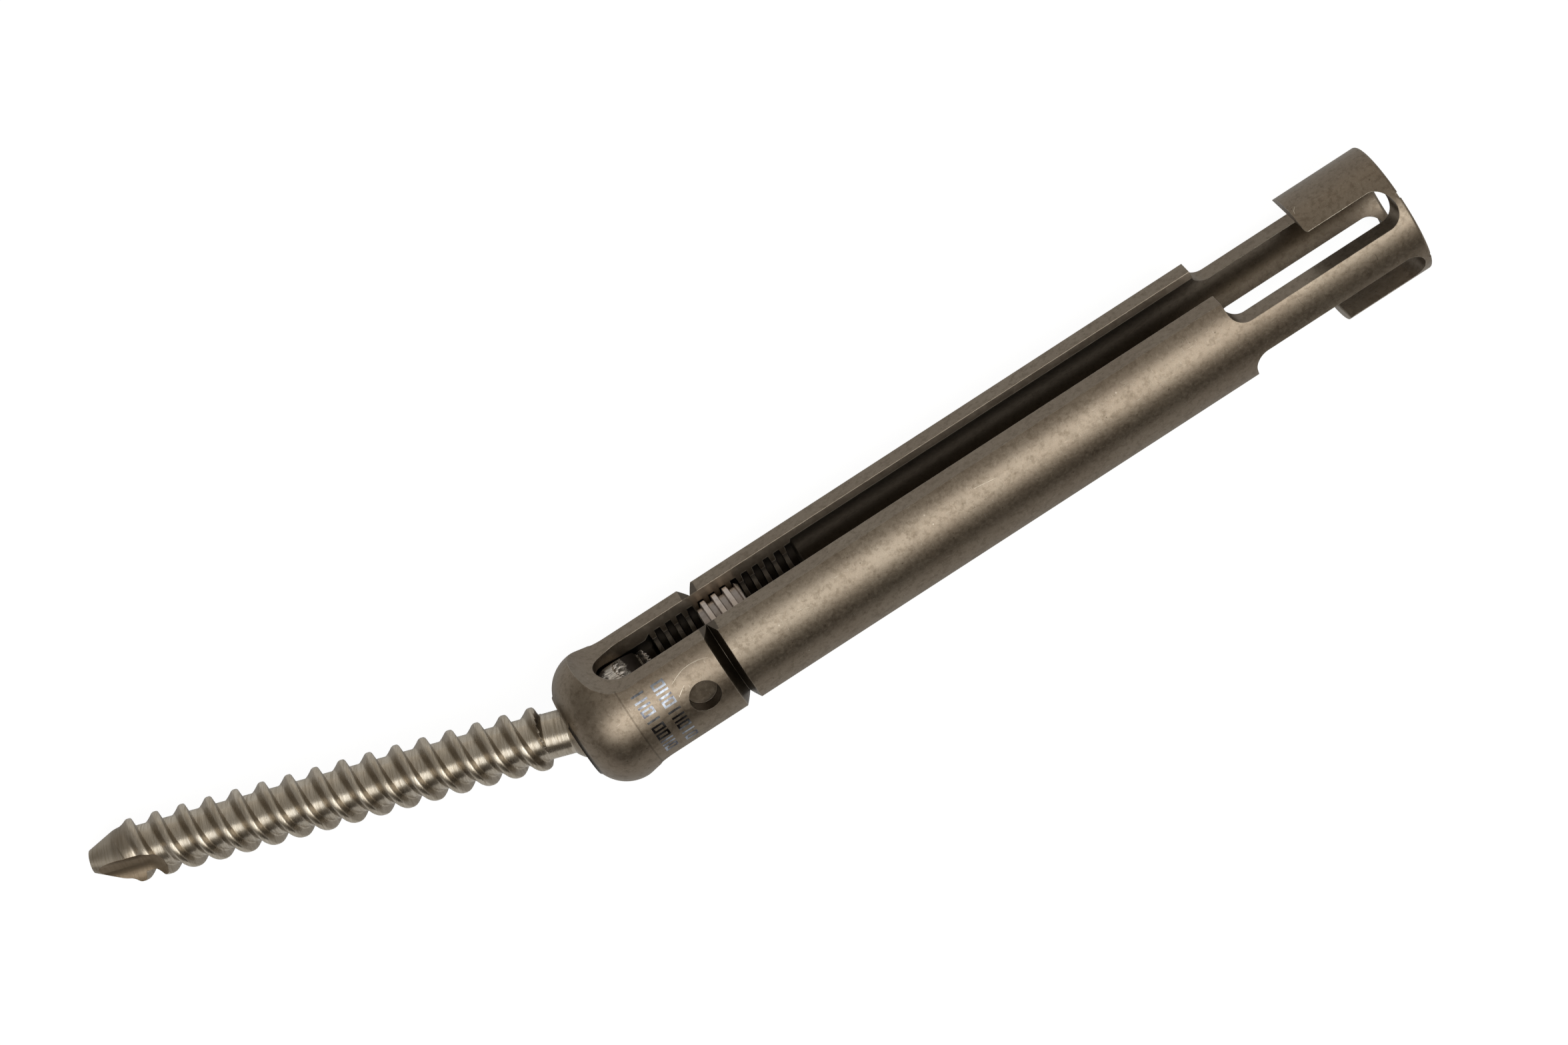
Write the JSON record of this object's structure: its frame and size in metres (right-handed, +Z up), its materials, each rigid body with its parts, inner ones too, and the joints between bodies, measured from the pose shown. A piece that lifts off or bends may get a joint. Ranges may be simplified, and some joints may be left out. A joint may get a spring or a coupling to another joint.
{
  "type": "polyaxial pedicle screw with long break-off tabs",
  "caption": "Bone screw with a ball-jointed slotted head, long break-off tabs joined by a ring, a rod saddle and a set screw.",
  "frame": {"origin": "middle of the object's footprint, on the surface it lies on", "axes": "+X along the head's axis towards the top ring, +Z up from the surface, +Y to the side that the shank leans to"},
  "size_m": [0.1454, 0.0248, 0.0144],
  "materials": {
    "blasted_titanium": "fine bead-blasted titanium, warm grey-brown, worn and stained",
    "turned_titanium": "bright turned titanium",
    "bare_titanium": "bare machined titanium, worn"
  },
  "bodies": {
    "receiver": {"head": "blasted_titanium", "saddle": "bare_titanium"},
    "bone_screw": {"shank": "turned_titanium"},
    "plug": {"set_screw": "bare_titanium"}
  },
  "joints": [
    {"name": "shank_tilt", "type": "hinge", "parent": "receiver", "child": "bone_screw", "pos_m": [-0.02197, -0.00518, 0.0072], "axis": [0, 0.2711, 0.9625], "range_deg": [-8, 44]},
    {"name": "set_screw_travel", "type": "slide", "parent": "receiver", "child": "plug", "axis": [1, 0, 0], "range_m": [-0.00387, 0.01161]}
  ]
}
